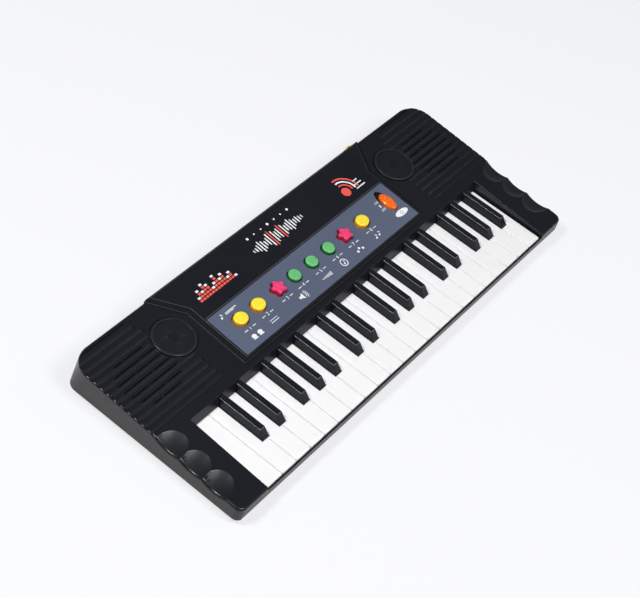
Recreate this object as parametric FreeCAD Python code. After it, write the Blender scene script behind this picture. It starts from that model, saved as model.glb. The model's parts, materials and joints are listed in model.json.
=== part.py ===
import FreeCAD
import Part
import math
import os

V = FreeCAD.Vector

# Toy electronic keyboard. Millimetres, +X along the keys, +Y to the rear, +Z up,
# origin under the middle of the whole object.

# Keys
key_pitch = 15.8
white_count = 22
white_gap = 0.35
white_visible = 67.0
white_depth = 5.0
white_wall = 1.4
white_skin = 1.8
white_corner = 1.2
white_edge = 0.35
key_dip = 3.0
black_width = 7.2
black_top_width = 5.2
black_rise = 6.9
black_depth = 4.5
black_wall = 1.4
black_skin = 2.4
black_front = 26.9
black_lean = 4.6
black_edge = 0.6
black_gap = 0.5
pair_shift = 1.4
triple_shift = 3.0

# Key pivot and contacts
pivot_back = 14.0
pivot_drop = 3.8
rod_radius = 1.5
rod_clearance = 0.05
tail_radius = 3.2
post_width = 3.0
post_length = 8.0
post_gap = 0.5
post_cap = 2.8
contact_back = 40.0
plunger_width = 4.0
plunger_length = 3.0
dome_clearance = 0.3

# Case
cheek_width = 29.35
key_side_gap = 1.85
deck_depth = 91.2
wall = 2.0
front_wall = 1.4
front_gap = 0.4
front_draft = 0.6
rail_drop = 1.0
deck = 2.4
deck_rise = 3.0
deck_slope = 4.46
front_corner = 6.0
rear_corner = 19.0
base_corner = 10.0
least_corner = 0.5
rim_round = 2.0
skirt_height = 9.5
foot_height = 2.0
foot_radius = 7.0
foot_inset = 40.0
foot_margin = 16.0
floor_wall = 2.0
floor_chamfer = 4.0
lip_wall = 1.4
lip_gap = 0.3
lip_height = 1.2
stop_height = 2.8
stop_length = 4.0
stop_back = 5.0
stop_clearance = 0.2
window_lean = 20.0
window_wall = 1.8
key_top_gap = 0.4
window_round = 0.7

# Thumb scallops on the cheeks
scallop_count = 3
scallop_length = 20.5
scallop_reach = 17.0
scallop_depth = 2.2
scallop_sink = 0.8
scallop_first = 23.5

# Grilles, measured from the case end and along the deck
ridge_count = 12
ridge_pitch = 6.37
ridge_rise = 1.2
ridge_end = 1.2
ridge_root = 0.4
ridge_start = 79.0
grille_reach = 74.2
grille_shoulder = 139.8
grille_shoulder_reach = 62.0
grille_rear_reach = 51.7
slot_first = 2
slot_count = 7
slot_width = 1.0
slot_bridge = 1.6
slot_bridge_shift = 5.0
slot_zone_radius = 23.7
speaker_inset = 33.6
emblem_inset = 71.5
emblem_back = 124.0
emblem_radius = 16.85
emblem_ring = 1.7
emblem_rise = 1.3
emblem_sink = 0.8
emblem_groove = 0.9

# Raised console and what is let into it
console_half = 107.0
console_front = 77.4
console_shoulder = 132.5
console_rear_half = 126.5
console_rise = 2.8
console_bevel = 4.0
console_front_bevel = 2.0
console_rear_round = 1.6
console_brim = 0.35
console_brim_rise = 0.6
moat_width = 0.8
moat_depth = 0.8
overlay_margin = 1.2
overlay_front = 78.4
overlay_rear = 117.8
overlay_thick = 0.8
overlay_gap = 0.25
overlay_corner = 0.8
overlay_rear_gap = 0.9
lip_run = 0.7
lip_drop = 0.45

# Buttons and slider on the console
button_back = 102.3
button_gap = 0.8
button_travel = 1.2
flange_thick = 1.2
flange_margin = 1.9
flange_gap = 0.2
yellow_half_width = 6.2
yellow_half_depth = 5.5
yellow_rise = 3.0
yellow_round = 1.6
green_radius = 5.2
green_rise = 2.9
green_round = 1.3
star_radius = 7.8
star_waist = 4.1
star_round = 1.5
star_waist_round = 1.2
star_rise = 3.8
star_chamfer = 0.6
star_points = 5
slider_inset = 12.1
button_inset = 19.5
slider_steps = 8.88
slider_back = 101.5
slot_half_length = 11.3
slot_half_width = 5.3
slider_travel = 4.4
knob_half_length = 8.6
knob_half_width = 4.6
knob_rise = 2.6
knob_round = 1.5
slider_plate_width = 13.4
slider_plate_length = 29.0
slider_stem = 4.0
slider_stem_drop = 2.0

# Rubber sheets and boards
dome_pressed = 0.8
dome_foot = 8.0
dome_head = 5.0
sheet_thick = 0.8
sheet_half_width = 7.6
sheet_margin = 9.5
board_thick = 1.6
board_half_width = 14.0
board_margin = 14.0
board_boss_radius = 2.4
board_boss_inset = 3.6
key_board_thick = 1.2
key_board_half_width = 8.0
key_dome_height = 2.2
strip_margin = 1.0
key_dome_foot = 6.0
key_dome_head = 4.0
board_rib = 1.0
board_rib_width = 2.0

# Loudspeakers
speaker_radius = 25.0
speaker_flange = 1.4
speaker_basket = 8.0
speaker_neck = 12.0
speaker_magnet_radius = 14.0
speaker_magnet = 5.0
speaker_seat_gap = 0.3
speaker_seat_wall = 1.4
speaker_seat_depth = 3.0
speaker_dish = 5.0

# Battery bay and door
bay_half = 55.0
bay_rear_inset = 6.5
bay_depth = 32.0
bay_height = 15.5
bay_wall = 2.4
bay_flange = 4.0
bay_flange_thick = 1.6
door_ledge = 1.2
door_gap = 0.3
tab_width = 10.0
tab_reach = 3.0
tab_thick = 1.2
tab_gap = 0.2
tab_x = 32.0
tab_notch_height = 4.0
door_grip_length = 18.0
door_grip_width = 5.0
door_grip_depth = 0.9
door_grip_count = 3

# Screws
screw_radius = 1.3
screw_head_radius = 2.8
screw_head = 2.0
screw_length = 12.0
screw_clearance = 0.05
screw_recess = 3.0
screw_recess_gap = 0.4
screw_post_radius = 4.6
screw_boss_radius = 3.5
screw_post_height = 5.0
screw_front_back = 20.0
screw_rear_inset = 17.0
screw_rear_end = 17.0
screw_middle_x = 86.0
screw_middle_inset = 10.0

# Socket in the rear wall
jack_x = 121.0
jack_height = 22.0
jack_proud = 4.0
jack_collar_radius = 4.8
jack_body_half = 3.2
jack_body_length = 13.0
jack_bore_radius = 1.8
jack_bore_depth = 14.0
jack_gap = 0.1
jack_plate_half = 4.8
jack_plate = 2.0
jack_round = 0.6

# Places that follow from the sizes above
key_half = white_count * key_pitch / 2
window_half = key_half + key_side_gap
case_half = window_half + cheek_width
case_depth = front_wall + front_gap + white_visible + deck_depth
front_y = -(case_depth + jack_proud) / 2
rear_y = front_y + case_depth
key_front_y = front_y + front_wall + front_gap
floor_z = foot_height + floor_wall
stop_z = floor_z + stop_height
white_bottom = stop_z + stop_clearance + key_dip
white_top = white_bottom + white_depth
parting_z = white_top - skirt_height
pivot_y = key_front_y + white_visible + pivot_back
pivot_z = white_top - pivot_drop
wall_foot_y = key_front_y + white_visible
wall_foot_z = white_top + key_top_gap
contact_y = key_front_y + contact_back
key_board_z = floor_z + board_rib
key_sheet_z = key_board_z + key_board_thick
dome_height = button_travel + dome_pressed
plunger_z = key_sheet_z + sheet_thick + key_dome_height + dome_clearance
slope = math.radians(deck_slope)
above = 60.0
beyond = 5.0
root = 1.0
tiny = 1e-4

overlay_half = console_half - overlay_margin
slider_x = overlay_half - slider_inset
button_x = -overlay_half + button_inset
button_step = (slider_x - button_x) / slider_steps

# Places of the buttons along the row, in steps
button_steps = {
    "button_yellow_1": 0.0,
    "button_yellow_2": 0.98,
    "button_star_1": 2.12,
    "button_green_1": 3.08,
    "button_green_2": 4.1,
    "button_green_3": 5.12,
    "button_star_2": 6.13,
    "button_yellow_3": 7.24,
}
button_places = {name: button_x + step * button_step for name, step in button_steps.items()}


def rounded_face(corners, height=0.0):
    """Flat face through (x, y, corner radius) points."""
    count = len(corners)
    spans = []
    for i, (x, y, radius) in enumerate(corners):
        here = V(x, y, height)
        to_last = (V(corners[i - 1][0], corners[i - 1][1], height) - here).normalize()
        after = corners[(i + 1) % count]
        to_next = (V(after[0], after[1], height) - here).normalize()
        if radius == 0:
            spans.append((here, None, here))
            continue
        half_angle = to_last.getAngle(to_next) / 2
        reach = radius / math.tan(half_angle)
        middle_way = (to_last + to_next).normalize()
        middle = here + middle_way * (radius / math.sin(half_angle) - radius)
        spans.append((here + to_last * reach, middle, here + to_next * reach))
    edges = []
    for i, (start, middle, end) in enumerate(spans):
        if middle is not None:
            edges.append(Part.Arc(start, middle, end).toShape())
        edges.append(Part.LineSegment(end, spans[(i + 1) % count][0]).toShape())
    return Part.Face(Part.Wire(edges))


def box(x0, x1, y0, y1, z0, z1):
    return Part.makeBox(x1 - x0, y1 - y0, z1 - z0, V(x0, y0, z0))


def plate(corners, z0, z1):
    return rounded_face(corners, z0).extrude(V(0, 0, z1 - z0))


def side_profile(points, x0, x1):
    """Solid from a closed outline of (y, z) points, drawn along X."""
    outline = [V(x0, y, z) for y, z in points]
    return Part.Face(Part.makePolygon(outline + outline[:1])).extrude(V(x1 - x0, 0, 0))


def upright(radius, height, x, y, z):
    return Part.makeCylinder(radius, height, V(x, y, z))


def along_x(radius, x0, x1, y, z):
    return Part.makeCylinder(radius, x1 - x0, V(x0, y, z), V(1, 0, 0))


def on_deck(shape, lift=0.0):
    """Moves a shape from the deck's own frame (y up the slope, z off it) into place."""
    turn = FreeCAD.Rotation(V(1, 0, 0), deck_slope)
    base = V(0, key_front_y, white_top + deck_rise)
    frame = FreeCAD.Placement(base + turn.multVec(V(0, 0, lift)), turn)
    moved = shape.copy()
    moved.Placement = frame.multiply(moved.Placement)
    return moved


def deck_z(y):
    return white_top + deck_rise + (y - key_front_y) * math.tan(slope)


def window_y(z):
    """The sloped rear wall of the key window at a height."""
    return wall_foot_y + (z - wall_foot_z) * math.tan(math.radians(window_lean))


def window_edge_y():
    """Where that wall meets the deck."""
    lean = math.tan(math.radians(window_lean))
    rise = deck_z(wall_foot_y) - wall_foot_z
    return wall_foot_y + rise * lean / (1 - lean * math.tan(slope))


def under_deck(drop):
    """Everything below a plane parallel to the deck, as a long wedge."""
    y0 = front_y - beyond
    y1 = rear_y + beyond
    lower = drop / math.cos(slope)
    points = [(y0, 0), (y1, 0), (y1, deck_z(y1) - lower), (y0, deck_z(y0) - lower)]
    return side_profile(points, -case_half - beyond, case_half + beyond)


def case_corners(inset, front_inset, far):
    """Plan of the case set in by some way, with a radius for its rear corners."""
    front = front_y + front_inset
    rear = rear_y - inset
    half = case_half - inset
    near = max(front_corner - inset, least_corner)
    return [(-half, front, near), (half, front, near), (half, rear, far), (-half, rear, far)]


def case_block():
    """The case's outside, its rear corners growing rounder from the parting line up."""
    growth = (rear_corner - base_corner) / (deck_z(rear_y) - parting_z)
    high_corner = base_corner + growth * (above - parting_z)
    low = rounded_face(case_corners(0, 0, base_corner), parting_z).OuterWire
    high = rounded_face(case_corners(0, 0, high_corner), above).OuterWire
    block = Part.makeLoft([low, high], True, True)
    lean = skirt_height / front_draft
    draft = [(front_y - beyond, white_top + beyond * lean),
             (front_y - beyond, parting_z - beyond * lean),
             (front_y + front_draft + beyond, parting_z - beyond * lean)]
    return block.cut(side_profile(draft, -case_half - beyond, case_half + beyond))


# Keys


def black_after(i):
    """Shift of the black key after white key i, or None where there is none."""
    shifts = {2: -pair_shift, 3: pair_shift, 5: -triple_shift, 6: 0.0, 0: triple_shift}
    return shifts.get(i % 7) if 0 < i < white_count else None


def boundary_x(i):
    return -key_half + i * key_pitch


def post_places():
    return [boundary_x(i) for i in range(white_count + 1) if black_after(i) is None]


def white_sides(i, side):
    """Front, rear and tail edges of white key i on its left (-1) or right (1)."""
    number = i - 1 if side < 0 else i
    line = boundary_x(number)
    front = line - side * white_gap / 2
    shift = black_after(number)
    if shift is None:
        return front, front, line - side * (post_width / 2 + post_gap)
    rear = line + shift - side * (black_width / 2 + black_gap)
    return front, rear, rear


def white_key(i):
    left, left_rear, left_tail = white_sides(i, -1)
    right, right_rear, right_tail = white_sides(i, 1)
    notch_y = key_front_y + black_front - black_gap
    tail_y = wall_foot_y + window_wall
    end_y = pivot_y + tail_radius
    outline = [(left, key_front_y, white_corner), (right, key_front_y, white_corner)]
    if right_rear != right:
        outline += [(right, notch_y, 0), (right_rear, notch_y, 0)]
    if right_tail != right_rear:
        outline += [(right_rear, tail_y, 0), (right_tail, tail_y, 0)]
    outline += [(right_tail, end_y, 0), (left_tail, end_y, 0)]
    if left_tail != left_rear:
        outline += [(left_tail, tail_y, 0), (left_rear, tail_y, 0)]
    if left_rear != left:
        outline += [(left_rear, notch_y, 0), (left, notch_y, 0)]
    key = plate(outline, white_bottom, white_top)
    rim = [e for e in key.Edges if all(abs(v.Z - white_top) < tiny for v in e.Vertexes)]
    key = key.makeChamfer(white_edge, rim)
    ceiling = white_top - white_skin
    hollow_end = pivot_y - tail_radius - white_wall
    hollow = box(left + white_wall, right - white_wall, key_front_y + white_wall,
                 notch_y - white_wall, 0, ceiling)
    inner_left = max(left_rear, left_tail) + white_wall
    inner_right = min(right_rear, right_tail) - white_wall
    hollow = hollow.fuse(box(inner_left, inner_right, key_front_y + white_wall, hollow_end,
                             0, ceiling))
    return finish_key(key.cut(hollow), left_tail, right_tail, ceiling)


def finish_key(key, left, right, ceiling):
    """Adds the plunger over the contact strip and the eye that turns on the rod."""
    middle = (left + right) / 2
    plunger = box(middle - plunger_width / 2, middle + plunger_width / 2,
                  contact_y - plunger_length / 2, contact_y + plunger_length / 2,
                  plunger_z, ceiling)
    key = key.fuse([plunger, along_x(tail_radius, left, right, pivot_y, pivot_z)])
    bore = along_x(rod_radius + rod_clearance, left - beyond, right + beyond, pivot_y, pivot_z)
    return key.cut(bore).removeSplitter()


def black_key(i):
    middle = boundary_x(i) + black_after(i)
    foot_y = key_front_y + black_front
    seam_z = white_top - white_edge
    top_z = white_top + black_rise
    half = black_width / 2
    top_half = black_top_width / 2

    def ring(half_width, y0, y1, z):
        points = [V(middle - half_width, y0, z), V(middle + half_width, y0, z),
                  V(middle + half_width, y1, z), V(middle - half_width, y1, z)]
        return Part.makePolygon(points + points[:1])

    low = ring(half, foot_y, window_y(seam_z) - black_gap, seam_z)
    high = ring(top_half, foot_y + black_lean, window_y(top_z) - black_gap, top_z)
    head = Part.makeLoft([low, high], True, True)
    crown = [e for e in head.Edges if max(v.Z for v in e.Vertexes) > top_z - tiny]
    front = [e for e in crown if min(v.Y for v in e.Vertexes) < window_y(top_z) - black_gap - tiny]
    head = head.makeFillet(black_edge, front)
    bottom = white_top - black_depth
    bar = box(middle - half, middle + half, foot_y, pivot_y + tail_radius, bottom, seam_z)
    key = head.fuse(bar)
    ceiling = top_z - black_skin - black_edge
    hollow = box(middle - top_half + black_wall / 2, middle + top_half - black_wall / 2,
                 foot_y + black_lean + black_wall, wall_foot_y - black_wall, 0, ceiling)
    return finish_key(key.cut(hollow), middle - half, middle + half, ceiling)


def key_pivot_rod():
    reach = key_half + post_width / 2
    return along_x(rod_radius, -reach, reach, pivot_y, pivot_z)


def key_board():
    half = key_board_half_width
    return box(-key_half, key_half, contact_y - half, contact_y + half,
               key_board_z, key_board_z + key_board_thick)


def square_dome(x, y, z, foot, head, height):
    rings = []
    for size, level in ((foot, z), (head, z + height)):
        corners = [V(x - size / 2, y - size / 2, level), V(x + size / 2, y - size / 2, level),
                   V(x + size / 2, y + size / 2, level), V(x - size / 2, y + size / 2, level)]
        rings.append(Part.makePolygon(corners + corners[:1]))
    return Part.makeLoft(rings, True, True)


def key_contact_strip():
    half = key_dome_foot / 2 + strip_margin
    strip = box(-key_half, key_half, contact_y - half, contact_y + half,
                key_sheet_z, key_sheet_z + sheet_thick)
    places = []
    for i in range(1, white_count + 1):
        places.append((white_sides(i, -1)[2] + white_sides(i, 1)[2]) / 2)
        if black_after(i) is not None:
            places.append(boundary_x(i) + black_after(i))
    domes = [square_dome(x, contact_y, key_sheet_z + sheet_thick, key_dome_foot,
                         key_dome_head, key_dome_height) for x in places]
    return strip.fuse(domes).removeSplitter()


# Upper case


def screw_places():
    end = case_half - screw_rear_end
    cheek = window_half + cheek_width / 2
    places = []
    for side in (-1, 1):
        places.append((side * cheek, front_y + screw_front_back))
        places.append((side * end, rear_y - screw_rear_inset))
        places.append((side * screw_middle_x, rear_y - screw_middle_inset))
    return places


def console_outline(grow, front_grow):
    """Half outline of the console's top, widened, mirrored to both sides."""
    run = rear_y - key_front_y + beyond
    spread = (console_rear_half - console_half) / (run - console_shoulder)
    right = [(console_half + grow, console_front - front_grow),
             (console_half + grow, console_shoulder - grow * spread / 2),
             (console_rear_half + grow, run)]
    return [(x, y, 0) for x, y in right] + [(-x, y, 0) for x, y in reversed(right)]


def console_block():
    rings = [(console_bevel, console_front_bevel, 0.0),
             (console_bevel - console_brim, console_front_bevel - console_brim, console_brim_rise),
             (0.0, 0.0, console_rise)]
    wires = [rounded_face(console_outline(side, front), z).OuterWire for side, front, z in rings]
    sides = Part.makeLoft(wires, True, True)
    foot = plate(console_outline(console_bevel, console_front_bevel), -deck / 2, 0)
    block = on_deck(sides.fuse(foot))
    block = block.common(case_block()).removeSplitter()
    rim = [e for e in block.Edges
           if all(abs(v.Y - rear_y) < tiny for v in e.Vertexes)
           and min(v.Z for v in e.Vertexes) > deck_z(rear_y) + console_rise / 2]
    return block.makeFillet(console_rear_round, rim)


def console_moat():
    """Fine groove round the foot of the console."""
    outer = plate(console_outline(console_bevel + moat_width, console_front_bevel + moat_width),
                  -moat_depth, beyond)
    inner = plate(console_outline(console_bevel, console_front_bevel), -2 * moat_depth, 2 * beyond)
    return on_deck(outer.cut(inner))


def grille_zone(side, drop):
    """Room at one end of the deck that the grille ridges fill, down to a depth."""
    def x(reach):
        return side * (case_half - reach)

    stop = ridge_start + ridge_count * ridge_pitch
    zone = [(x(-beyond), ridge_start, 0), (x(grille_reach), ridge_start, 0),
            (x(grille_reach), emblem_back - emblem_radius, 0),
            (x(grille_shoulder_reach), grille_shoulder, 0),
            (x(grille_rear_reach), stop, 0), (x(-beyond), stop, 0)]
    return on_deck(plate(zone, -drop, beyond))


def ridge_rows():
    """Row of rounded ridges, longer than the case, with their crowns at deck height."""
    edges = []
    for i in range(ridge_count):
        y0 = ridge_start + i * ridge_pitch
        ends = [V(-case_half - beyond, y, -ridge_rise) for y in (y0, y0 + ridge_pitch)]
        crown = V(-case_half - beyond, y0 + ridge_pitch / 2, 0)
        edges.append(Part.Arc(ends[0], crown, ends[1]).toShape())
    stop = ridge_start + ridge_count * ridge_pitch
    foot = [V(-case_half - beyond, y, z)
            for y, z in ((stop, -ridge_rise), (stop, -2 * beyond), (ridge_start, -2 * beyond),
                         (ridge_start, -ridge_rise))]
    edges += [Part.LineSegment(a, b).toShape() for a, b in zip(foot, foot[1:])]
    return on_deck(Part.Face(Part.Wire(edges)).extrude(V(2 * case_half + 2 * beyond, 0, 0)))


def round_rim(block, radius):
    """Round the edge where the side walls of a block meet its top."""
    walls = [f for f in block.Faces
             if f.BoundBox.ZMin < parting_z + root and f.BoundBox.ZLength > root]
    rim = [e for f in walls for e in f.Edges
           if min(v.Z for v in e.Vertexes) > parting_z + root]
    return block.makeFillet(radius, rim)


def rimmed_block():
    """The case's outside with thumb dents, a rounded rim and ridges that run over it."""
    plain = case_block().common(under_deck(0))
    ends = (-1, 1)
    block = plain.cut([scallop(side, i) for side in ends for i in range(scallop_count)])
    block = round_rim(block, rim_round)
    ridges = round_rim(plain, ridge_end).common(ridge_rows())
    drop = ridge_rise + ridge_end + ridge_root
    block = block.cut([grille_zone(side, drop) for side in ends])
    return block.fuse([ridges.common(grille_zone(side, drop)) for side in ends])


def slot_middle_y():
    return ridge_start + (slot_first + slot_count / 2) * ridge_pitch


def grille_slots(side):
    middle = side * (case_half - speaker_inset)
    slots = []
    for i in range(slot_count):
        y = ridge_start + (slot_first + i + 0.5) * ridge_pitch
        half = math.sqrt(slot_zone_radius ** 2 - (y - slot_middle_y()) ** 2)
        bridge = middle + slot_bridge_shift * (1 if i % 2 else -1)
        for x0, x1 in ((middle - half, bridge - slot_bridge / 2),
                       (bridge + slot_bridge / 2, middle + half)):
            slots.append(box(x0, x1, y - slot_width / 2, y + slot_width / 2, -beyond, beyond))
    return [on_deck(slot) for slot in slots]


def emblem(side):
    """Round boss with a raised ring, beside the grille."""
    x = side * (case_half - emblem_inset)
    boss = upright(emblem_radius, deck / 2 + emblem_rise, x, emblem_back, -deck / 2)
    ring_top = [e for e in boss.Edges if len(e.Vertexes) == 1 and e.Vertexes[0].Z > 0]
    boss = boss.makeFillet(emblem_ring / 3, ring_top)
    dish = upright(emblem_radius - emblem_ring, beyond, x, emblem_back, emblem_rise - emblem_sink)
    return on_deck(boss.cut(dish))


def emblem_moat(side):
    x = side * (case_half - emblem_inset)
    return on_deck(upright(emblem_radius + emblem_groove, beyond, x, emblem_back, -ridge_rise))


def scallop(side, number):
    """A shallow thumb dent, cut by a ring whose rim is deepest at the case's edge."""
    along = (scallop_length / 2) ** 2
    across = scallop_reach ** 2
    deep = scallop_depth + scallop_sink
    small = (along + scallop_depth ** 2) / (2 * scallop_depth)
    large = (across + deep ** 2) / (2 * deep)
    y = scallop_first + number * scallop_length
    centre = V(side * case_half, y, large - deep)
    return on_deck(Part.makeTorus(large - small, small, centre, V(0, 1, 0)))


def console_holes():
    """Openings through the console's skin for the overlay, buttons and slider."""
    gap = overlay_gap
    recess = plate([(-overlay_half - gap, overlay_front - gap, overlay_corner),
                    (overlay_half + gap, overlay_front - gap, overlay_corner),
                    (overlay_half + gap, overlay_rear + gap, overlay_corner),
                    (-overlay_half - gap, overlay_rear + gap, overlay_corner)],
                   -overlay_thick, beyond)
    ledge = overlay_rear + overlay_rear_gap
    groove = side_profile([(overlay_rear, -overlay_thick), (ledge, -overlay_thick),
                           (ledge, -lip_drop), (ledge + lip_run, 0), (ledge + lip_run, beyond),
                           (overlay_rear, beyond)], -overlay_half - gap, overlay_half + gap)
    return [on_deck(cut, console_rise) for cut in [recess, groove] + control_holes()]


def control_holes():
    holes = []
    for name, x in button_places.items():
        face = button_face(name, x, button_gap)
        face.translate(V(0, 0, -beyond))
        holes.append(face.extrude(V(0, 0, 2 * beyond)))
    slot = oval_face(slot_half_width, slot_half_length, slider_x, slot_middle())
    slot.translate(V(0, 0, -beyond))
    holes.append(slot.extrude(V(0, 0, 2 * beyond)))
    return holes


def top_case():
    cavity = plate(case_corners(wall, front_wall, rear_corner), 0, above)
    cavity = cavity.common(under_deck(deck))
    scallop_end = key_front_y + scallop_first + scallop_count * scallop_length
    for x0, x1 in ((-case_half, -window_half), (window_half, case_half)):
        cheek = box(x0, x1, front_y, scallop_end, parting_z, above)
        cavity = cavity.cut(cheek.cut(under_deck(deck + scallop_depth + scallop_sink)))
    shell = rimmed_block().fuse(console_block()).cut(cavity)
    inner = console_outline(-deck, -deck)
    hollow_end = rear_y - key_front_y - 2 * wall
    inner = [(x, min(y, hollow_end), r) for x, y, r in inner]
    shell = shell.cut(on_deck(plate(inner, -deck - root, console_rise - deck)))
    shell = shell.cut(key_window())
    brink = [e for e in shell.Edges
             if all(abs(v.Z - deck_z(v.Y)) < tiny and abs(v.X) < window_half + tiny
                    and v.Y < window_edge_y() + tiny for v in e.Vertexes)]
    shell = shell.makeFillet(window_round, brink)
    cuts = [console_moat()]
    adds = [window_plate()]
    for side in (-1, 1):
        cuts += [emblem_moat(side)] + grille_slots(side)
        adds += [emblem(side), cheek_plate(side), speaker_seat(side)]
    shell = shell.cut(cuts)
    adds += screw_bosses() + board_bosses()
    shell = shell.fuse(adds).cut(console_holes())
    pilots = [upright(screw_radius + screw_clearance, screw_length, x, y,
                      foot_height + screw_recess) for x, y in screw_places()]
    return shell.cut(pilots + [jack_body(jack_gap, 3 * wall, wall)]).removeSplitter()


def key_window():
    """What is cut away over the keys, down to the low front rail."""
    rail_z = white_top - rail_drop
    outline = [(front_y - beyond, rail_z), (front_y + front_wall, rail_z),
               (front_y + front_wall, 0), (wall_foot_y, 0), (wall_foot_y, wall_foot_z),
               (window_y(above), above), (front_y - beyond, above)]
    return side_profile(outline, -window_half, window_half)


def window_plate():
    """The sloped rear wall of the key window, hung from the deck."""
    top_y = window_edge_y()
    top_z = deck_z(top_y) - deck / 2
    edge = window_y(top_z)
    points = [(wall_foot_y, wall_foot_z), (edge, top_z), (edge + window_wall, top_z),
              (wall_foot_y + window_wall, wall_foot_z)]
    return side_profile(points, -window_half - wall, window_half + wall)


def cheek_plate(side):
    x = sorted((side * window_half, side * (window_half + wall)))
    rear = window_edge_y() + window_wall
    sheet = box(x[0], x[1], front_y + front_wall / 2, rear, parting_z, above)
    return sheet.common(under_deck(deck / 2))


def speaker_seat(side):
    x = side * (case_half - speaker_inset)
    outer = speaker_radius + speaker_seat_gap + speaker_seat_wall
    start = -deck - speaker_seat_depth
    height = speaker_seat_depth + (deck - ridge_rise) / 2
    ring = upright(outer, height, x, slot_middle_y(), start)
    bore = upright(speaker_radius + speaker_seat_gap, height, x, slot_middle_y(), start)
    return on_deck(ring.cut(bore))


def screw_bosses():
    """Bosses that hang from the deck, or from the console's skin under the console."""
    start = floor_z + screw_post_height
    bosses = []
    for x, y in screw_places():
        rise = console_rise if abs(x) < console_half else 0
        boss = upright(screw_boss_radius, above - start, x, y, start)
        bosses.append(boss.common(under_deck(deck / 2 - rise)))
    return bosses


def board_top():
    """The control board's upper face, below the console's top."""
    domes = dome_clearance + dome_height + sheet_thick
    return -(deck + flange_gap + flange_thick + domes)


def board_ends():
    return min(button_places.values()) - board_margin, slider_x + board_margin


def board_bosses():
    x0, x1 = board_ends()
    bosses = []
    for x in (x0 + board_boss_inset, x1 - board_boss_inset):
        for way in (-1, 1):
            y = button_back + way * (board_half_width - board_boss_inset)
            boss = upright(board_boss_radius, -deck / 2 - board_top(), x, y, board_top())
            bosses.append(on_deck(boss, console_rise))
    return bosses


# Lower case


def bottom_case():
    floor_corner = max(base_corner - floor_chamfer, least_corner)
    low = rounded_face(case_corners(floor_chamfer, floor_chamfer, floor_corner), foot_height)
    high = rounded_face(case_corners(0, front_draft, base_corner), parting_z)
    tray = Part.makeLoft([low.OuterWire, high.OuterWire], True, True)
    inset = wall + lip_gap
    front_inset = front_wall + lip_gap
    lip = plate(case_corners(inset, front_inset, rear_corner), floor_z, parting_z + lip_height)
    room = plate(case_corners(inset + lip_wall, front_inset + lip_wall, rear_corner), floor_z, above)
    tray = tray.fuse(lip).cut(room)
    key_stop_y = key_front_y + stop_back
    adds = [box(-key_half, key_half, key_stop_y, key_stop_y + stop_length, floor_z - root, stop_z)]
    for way in (-1, 1):
        y = contact_y + way * (key_board_half_width - board_rib_width)
        adds.append(box(-key_half, key_half, y - board_rib_width / 2, y + board_rib_width / 2,
                        floor_z - root, key_board_z))
    for x in post_places():
        adds.append(box(x - post_width / 2, x + post_width / 2, pivot_y - post_length / 2,
                        pivot_y + post_length / 2, floor_z - root, pivot_z + post_cap))
    for x, y in screw_places():
        adds.append(upright(screw_post_radius, screw_post_height + root, x, y, floor_z - root))
    reach = key_half + post_width
    cuts = [along_x(rod_radius + rod_clearance, -reach, reach, pivot_y, pivot_z)]
    for x, y in screw_places():
        cuts.append(upright(screw_head_radius + screw_recess_gap, screw_recess, x, y, foot_height))
        cuts.append(upright(screw_radius + screw_recess_gap, above, x, y, foot_height))
    cuts.append(door_room())
    return tray.fuse(adds).cut(cuts).removeSplitter()


def bay_ends():
    rear = rear_y - bay_rear_inset
    return rear - bay_depth, rear


def door_room():
    """The rebate that the battery door lies in."""
    y0, y1 = bay_ends()
    edge = door_ledge
    return box(-bay_half - edge, bay_half + edge, y0 - edge, y1 + edge, 0, floor_z + tab_gap)


def battery_box():
    """Open tray for the cells, standing on the base over its opening."""
    y0, y1 = bay_ends()
    half = bay_half + bay_wall
    top = floor_z + bay_height
    tray = box(-half, half, y0 - bay_wall, y1 + bay_wall, floor_z, top + bay_wall)
    foot = box(-half - bay_flange, half + bay_flange, y0 - bay_wall - bay_flange, y1,
               floor_z, floor_z + bay_flange_thick)
    cuts = [box(-bay_half, bay_half, y0, y1, 0, top), door_room()]
    for x in (-tab_x, tab_x):
        notch = tab_width / 2 + door_gap
        cuts.append(box(x - notch, x + notch, y0 - tab_reach - door_ledge - beyond, y0 + root,
                        floor_z, floor_z + tab_notch_height))
    return tray.fuse(foot).cut(cuts).removeSplitter()


def battery_door():
    y0, y1 = bay_ends()
    reach = door_ledge - door_gap
    front = y0 - reach
    rear = y1 + reach
    door = box(-bay_half - reach, bay_half + reach, front, rear, foot_height, floor_z)
    for x in (-tab_x, tab_x):
        lug = [(front, floor_z - tab_thick), (front + 2 * tab_thick, floor_z - tab_thick),
               (front + 2 * tab_thick, floor_z + tab_gap + tab_thick),
               (front - tab_reach, floor_z + tab_gap + tab_thick),
               (front - tab_reach, floor_z + tab_gap), (front, floor_z + tab_gap)]
        door = door.fuse(side_profile(lug, x - tab_width / 2, x + tab_width / 2))
    grip_y = rear - door_grip_width
    for i in range(door_grip_count):
        y = grip_y - i * door_grip_width
        door = door.cut(box(-door_grip_length / 2, door_grip_length / 2, y,
                            y + door_grip_width / 2, foot_height, foot_height + door_grip_depth))
    return door.removeSplitter()


def case_screws():
    screws = []
    for x, y in screw_places():
        seat = foot_height + screw_recess
        head = upright(screw_head_radius, screw_head, x, y, seat - screw_head)
        screws.append(head.fuse(upright(screw_radius, screw_length, x, y, seat)))
    return Part.makeCompound(screws)


def rubber_feet():
    feet = []
    for x in (-case_half + foot_inset, case_half - foot_inset):
        for y in (front_y + foot_margin, rear_y - foot_margin):
            foot = upright(foot_radius, foot_height, x, y, 0)
            rim = [e for e in foot.Edges if len(e.Vertexes) == 1 and e.Vertexes[0].Z < tiny]
            feet.append(foot.makeChamfer(foot_height / 4, rim))
    return Part.makeCompound(feet)


# Controls


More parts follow.
